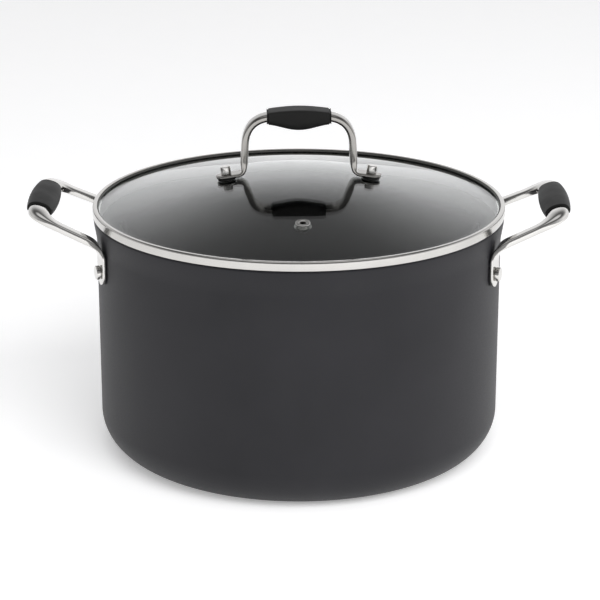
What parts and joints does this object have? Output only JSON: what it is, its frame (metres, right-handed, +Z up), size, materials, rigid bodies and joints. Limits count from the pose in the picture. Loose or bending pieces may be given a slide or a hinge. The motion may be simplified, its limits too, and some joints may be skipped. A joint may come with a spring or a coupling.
{
  "type": "covered stockpot",
  "caption": "Wide straight-sided anodised stockpot with riveted loop handles and a vented, domed glass lid that lifts off by an arched handle.",
  "frame": {"origin": "centre of the pot's base, on the surface it stands on", "axes": "+Z up along the pot's axis; the two side handles lie along X; the steam vent is on the -Y side of the lid"},
  "size_m": [0.377, 0.2878, 0.2429],
  "materials": {
    "anodised": "matt hard-anodised",
    "steel": "polished stainless",
    "silicone": "matt silicone",
    "glass": "clear tempered",
    "seal": "matt bedding ring"
  },
  "bodies": {
    "pot": {"pot_body": "anodised", "side_handle_left": "steel", "side_handle_right": "steel", "side_grip_left": "silicone", "side_grip_right": "silicone", "side_rivet_left_front": "steel", "side_rivet_left_rear": "steel", "side_rivet_right_front": "steel", "side_rivet_right_rear": "steel"},
    "lid": {"lid_glass": "glass", "lid_rim_band": "steel", "lid_rim_seal": "seal", "lid_handle": "steel", "lid_handle_grip": "silicone", "lid_rivet_left": "steel", "lid_rivet_right": "steel", "lid_foot_washer_left": "silicone", "lid_foot_washer_right": "silicone", "lid_inner_washer_left": "silicone", "lid_inner_washer_right": "silicone", "lid_backing_cup_left": "steel", "lid_backing_cup_right": "steel", "vent_eyelet": "steel", "vent_washer": "steel"}
  },
  "joints": [
    {"name": "lid_lift", "type": "slide", "parent": "pot", "child": "lid", "axis": [0, 0, 1], "range_m": [0, 0.2]}
  ]
}
